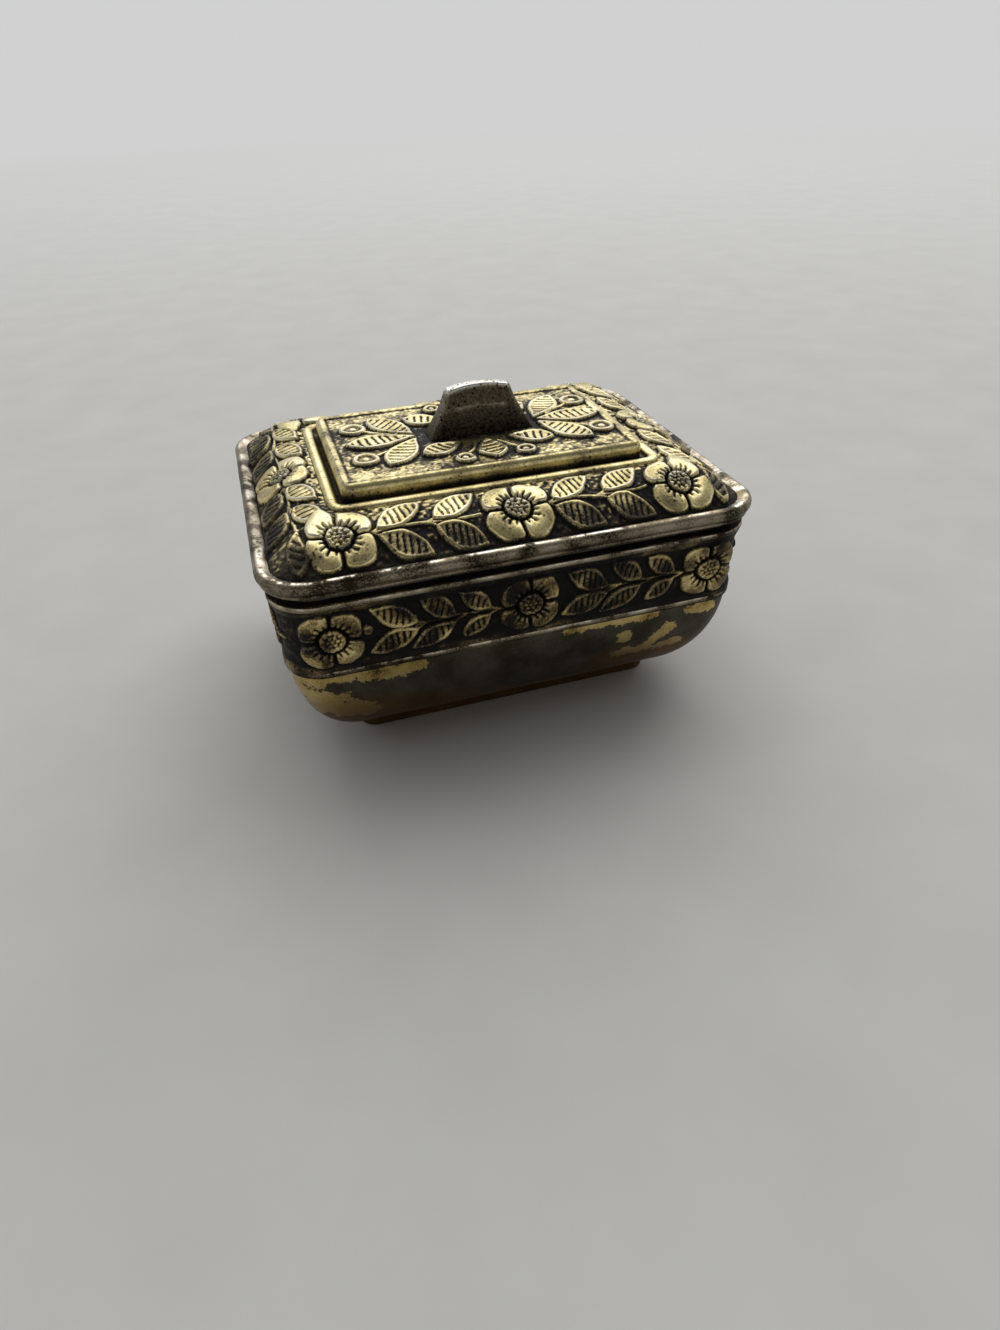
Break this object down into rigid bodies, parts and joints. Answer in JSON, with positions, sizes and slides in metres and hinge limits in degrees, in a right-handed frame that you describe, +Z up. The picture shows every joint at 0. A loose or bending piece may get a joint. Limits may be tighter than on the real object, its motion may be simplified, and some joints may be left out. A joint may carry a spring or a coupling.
{
  "type": "footed trinket box",
  "caption": "Small gilt metal keepsake box: embossed lift-off lid with a tab handle, flower band, rounded bowl and a low foot.",
  "frame": {"origin": "centre of the footprint, on the surface that the foot stands on", "axes": "+X along the box's length, -Y towards its front long side, +Z up"},
  "size_m": [0.08, 0.0644, 0.0529],
  "materials": {
    "aged_gilt": "gilt over white metal, embossed, dark patina in the recesses",
    "worn_white_metal": "white metal with the gilt rubbed off",
    "pitted_metal": "dark pitted white metal with traces of gilt",
    "bare_white_metal": "dull grey white metal with patches of old gilt",
    "velvet": "short-pile lining fabric on card"
  },
  "bodies": {
    "box": {"collar": "worn_white_metal", "body_band": "aged_gilt", "band_upper_bead": "worn_white_metal", "band_lower_bead": "worn_white_metal", "bowl": "bare_white_metal", "foot_ring": "bare_white_metal", "floor_pad": "velvet", "wall_lining": "velvet"},
    "lid": {"lid_shell": "aged_gilt", "lid_rim": "worn_white_metal", "lid_panel": "aged_gilt", "handle": "pitted_metal", "handle_rivet_left": "worn_white_metal", "handle_rivet_right": "worn_white_metal", "lid_lining": "velvet"}
  },
  "joints": [
    {"name": "lid_lift", "type": "slide", "parent": "box", "child": "lid", "axis": [0, 0, 1], "range_m": [0, 0.04]}
  ]
}
